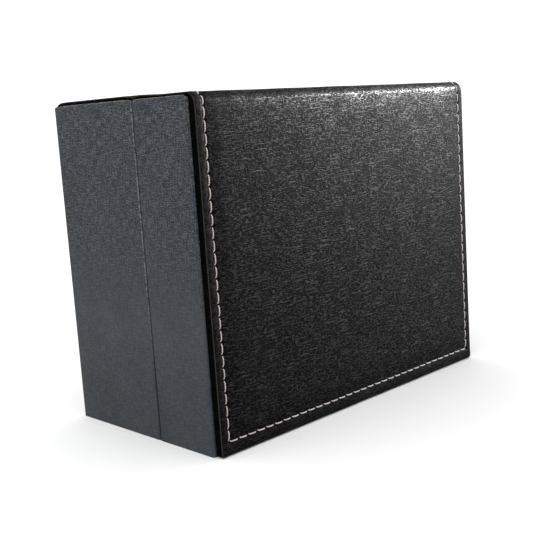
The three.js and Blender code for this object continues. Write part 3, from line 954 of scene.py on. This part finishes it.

# %% [markdown]
# ## The charcoal leatherette
#
# The sides are matt and blue grey, with a finer grain than the cover: short strokes both ways, and pale
# specks where the tops of the grain have lost a little colour. Their tone is painted lighter towards the
# top, as the light from above makes it. Their top cut edge is pale, partly where the backing shows and
# partly as painted highlight, and a painted highlight runs along the folded lip at the seam.

# %% Finish the leatherette
leatherette, shader, cut, place = new_finish(
    "side_leatherette", {"Specular IOR Level": 0.15, "IOR": 1.45}
)
cross = cut.noise(0.30, 2.7, detail=1.0, seed=7.0).step(0.46, 0.60)
upright = cut.noise(3.0, 0.30, detail=1.0, seed=8.0).step(0.46, 0.60)
specks = cut.noise(3.0, 2.4, detail=1.0, seed=9.0).step(0.56, 0.66)
cloud = cut.noise(0.05, 0.04, detail=3.0, seed=10.0)
_, y_part, z_part = place.parts()
grain = cross.higher(upright)
grain = grain * 0.6 + cross * upright * 0.4
# The grain's contrast grows towards the top.
contrast = 0.33 + z_part.step(40.0, 112.0) * 1.55
tone = 0.30 + (grain * 0.50 + specks * 0.90 - 0.50) * contrast + (cloud - 0.5) * 0.35
# Painted light from above: the tone is made lighter towards the top of the side and darker towards the
# floor.
tone = tone + z_part.step(0.0, 115.0) * 0.08 + z_part.step(55.0, 112.0) * 0.20 - 0.01
# The top cut edge is painted pale and warm in patches: partly the backing showing at the cut, partly a
# painted highlight where the rounded edge faces the light from above.
cut_edge = z_part.step(SIDE_TOP - 0.16, SIDE_TOP - 0.02)
rim_backing_and_highlight = cut_edge * cut.noise(0.5, 0.5, detail=4.0, seed=12.0).step(0.30, 0.55)
tint = tone.blend((0.016, 0.020, 0.024, 1), (0.112, 0.125, 0.137, 1))
# A painted highlight along the folded lip at the seam, broken into streaks and fading out towards the
# floor.
lip = y_part.math("ABSOLUTE", y_part - (SEAM_Y + 0.55))
lip_highlight = (1 - lip.step(0.10, 0.32)) * z_part.step(15.0, 70.0)
lip_highlight = lip_highlight * cut.noise(0.3, 0.9, detail=3.0, seed=26.0).step(0.38, 0.62)
tint = (rim_backing_and_highlight * 0.8).blend(tint, (0.36, 0.29, 0.22, 1))
tint = (lip_highlight * 0.5).blend(tint, (0.25, 0.27, 0.29, 1))
connect(shader, Base_Color=tint, Roughness=0.74 - grain * 0.12,
        Normal=tint.bump(grain * 0.06 + specks * 0.04, 0.9))
dress(side_pieces, leatherette)

# %% [markdown]
# ## Thread, cloth and velvet
#
# The thread is two plies twisted together, so fine ridges wind round every stitch. The lining is a plain
# weave: two sets of threads that rise in turn. Velvet is a pile that catches light at its edges,
# which the shader's sheen gives, with brushed patches where the pile leans another way.

# %% Finish the thread
thread, shader, cut, place = new_finish("thread", {"Specular IOR Level": 0.35})
u_part, v_part, _ = cut.parts()
winding = u_part * (2 * math.pi / 0.75) + v_part * (1 / 0.4)
plies = winding.math("SINE", winding)
fibres = cut.noise(6.0, 9.0, detail=2.0, seed=13.0)
own = cut.noise(0.11, 0.0, detail=0.0, seed=14.0)
tint = (own.step(0.3, 0.7) * 0.5 + fibres * 0.5).blend((0.34, 0.28, 0.27, 1), (0.58, 0.49, 0.47, 1))
# The grooves between the plies are painted dark: painted shade in the twist.
tint = plies.step(-1.0, -0.2).blend((0.20, 0.16, 0.15, 1), tint)
connect(shader, Base_Color=tint, Roughness=0.62 + fibres * 0.2,
        Normal=tint.bump(plies * 0.05 + fibres * 0.02))
dress(thread_pieces, thread)

# %% Finish the lining cloth
lining, shader, cut, place = new_finish(
    "lining_cloth", {"Specular IOR Level": 0.3, "Sheen Weight": 0.25, "Sheen Roughness": 0.4}
)
u_part, v_part, _ = cut.parts()
THREADS = 2 * math.pi / 0.42
warp = u_part.math("SINE", u_part * THREADS)
weft = v_part.math("SINE", v_part * THREADS)
weave = warp * weft * 0.5 + 0.5
slubs = cut.noise(0.3, 4.0, detail=2.0, seed=15.0) + cut.noise(4.0, 0.3, detail=2.0, seed=16.0)
tint = (weave * 0.6 + slubs * 0.3).blend(grey(0.006), grey(0.028, -0.03))
connect(shader, Base_Color=tint, Roughness=0.85 - weave * 0.15,
        Normal=tint.bump(weave * 0.06 + slubs * 0.03))
dress([hinge_cloth, wall_cloth], lining)

# %% Finish the velvet
velvet, shader, cut, place = new_finish(
    "velvet", {"Specular IOR Level": 0.1, "Sheen Weight": 0.6, "Sheen Roughness": 0.35,
               "Sheen Tint": (0.75, 0.78, 0.85, 1)}
)
pile = place.noise(5.0, 5.0, 5.0, detail=2.0, seed=17.0)
brushed = place.noise(0.05, 0.09, 0.05, detail=3.0, roughness=0.6, seed=18.0)
streaks = place.noise(0.6, 0.1, 0.08, detail=2.0, seed=19.0)
tint = pile * 0.35 + brushed.step(0.35, 0.65) * 0.4 + streaks * 0.25
tint = tint.blend(grey(0.0035), grey(0.020, -0.05))
connect(shader, Base_Color=tint, Roughness=0.9 - brushed * 0.1,
        Normal=tint.bump(pile * 0.10 + streaks * 0.08 + brushed * 0.3))
dress(velvet_pieces, velvet)

# %% [markdown]
# ## Board, foam and steel
#
# These lie under the coverings, and show only where an edge is open. Greyboard is pressed waste paper,
# with fibres and dark flecks. The foam has open cells, and the steel is brushed along its length.

# %% Finish the board, the foam and the steel
board, shader, cut, place = new_finish("greyboard", {"Specular IOR Level": 0.15})
fibres = place.noise(0.7, 0.7, 3.5, detail=4.0, roughness=0.7, seed=20.0)
flecks = place.noise(1.6, 1.6, 1.6, detail=2.0, seed=21.0).step(0.64, 0.72)
tint = fibres.step(0.3, 0.7).blend((0.25, 0.235, 0.21, 1), (0.40, 0.38, 0.345, 1))
tint = (flecks * 0.7).blend(tint, (0.10, 0.09, 0.08, 1))
connect(shader, Base_Color=tint, Roughness=0.9 + fibres * 0.08, Normal=tint.bump(fibres * 0.08))
dress([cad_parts[node] for node in ("lid_shell", "base_shell", "front_board")], board)

foam, shader, cut, place = new_finish("foam", {"Specular IOR Level": 0.1})
cells = place.node("ShaderNodeTexVoronoi", {"feature": "F1"}, {"Vector": place, "Scale": 2.2})
aged = place.noise(0.03, 0.03, 0.03, detail=2.0, seed=22.0)
tint = (cells * 0.8).blend((0.74, 0.70, 0.62, 1), (0.46, 0.42, 0.34, 1))
tint = (aged.step(0.4, 0.7) * 0.3).blend(tint, (0.62, 0.52, 0.33, 1))
connect(shader, Base_Color=tint, Roughness=0.92 + cells * 0.05, Normal=tint.bump(cells * -0.2))
dress(foam_pieces, foam)

steel, shader, cut, place = new_finish("magnet_steel", {"Metallic": 1.0})
brushing = place.noise(0.15, 6.0, 6.0, detail=3.0, seed=23.0)
stain = place.noise(0.2, 0.2, 0.2, detail=3.0, seed=24.0).step(0.5, 0.8)
tint = (brushing * 0.5 + stain * 0.4).blend((0.66, 0.66, 0.67, 1), (0.44, 0.43, 0.42, 1))
connect(shader, Base_Color=tint, Roughness=0.26 + brushing * 0.2 + stain * 0.2,
        Normal=tint.bump(brushing * 0.01))
hidden = ("base_magnet_left", "base_magnet_right", "lid_plate_left", "lid_plate_right")
dress([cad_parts[node] for node in hidden], steel)

# %% [markdown]
# ## The studio
#
# The box stands on a plain white floor under an even white sky, which gives it a soft shadow where
# it touches. A lamp on the right lays a sheen over the upper right of the front. It shows only in
# what shines, and the black leather takes its whole look from what it mirrors, so it matters more
# than the material's own colour. A weak lamp high on the left gives the edges a little direction.

# %% Set the floor, the sky and the lamps
FLOOR_HALF = 6000.0
floor_points = np.array([[-1, -1, 0], [1, -1, 0], [1, 1, 0], [-1, 1, 0]]) * FLOOR_HALF
floor_mesh = bpy.data.meshes.new("floor")
floor_mesh.from_pydata((floor_points * MM).tolist(), [], [(0, 1, 2, 3)])
floor = put("floor", floor_mesh)
paper, shader, cut, place = new_finish("floor_paper", {"Specular IOR Level": 0.0, "Roughness": 0.9})
tint = place.noise(0.002, 0.002, 0.002, seed=25.0).blend(grey(0.925), grey(0.935))
connect(shader, Base_Color=tint)
dress([floor], paper)

world = bpy.data.worlds.new("white_sky")
world.use_nodes = True
sky = world.node_tree.nodes["Background"]
sky.inputs["Color"].default_value = (1, 1, 1, 1)
sky.inputs["Strength"].default_value = 1.1
scene.world = world


def lamp(name, at, towards, width, height, watts):
    """A soft rectangular lamp at one place, looking at another, both in millimetres."""
    light = bpy.data.lights.new(name, "AREA")
    light.shape = "RECTANGLE"
    light.size, light.size_y, light.energy = width * MM, height * MM, watts
    made = put(name, light)
    made.location = Vector(at) * MM
    made.rotation_euler = (Vector(towards) - Vector(at)).to_track_quat("-Z", "Y").to_euler()
    return made


lamp("key_lamp", (-620, -330, 760), (0, 0, 50), 380, 380, 1.5)
sheen_lamp = lamp("sheen_lamp", (756, -290, 340), (60, -38, 100), 220, 200, 58.0)
sheen_lamp.visible_diffuse = False
scene.view_settings.view_transform = "Standard"
scene.view_settings.exposure = 0.18
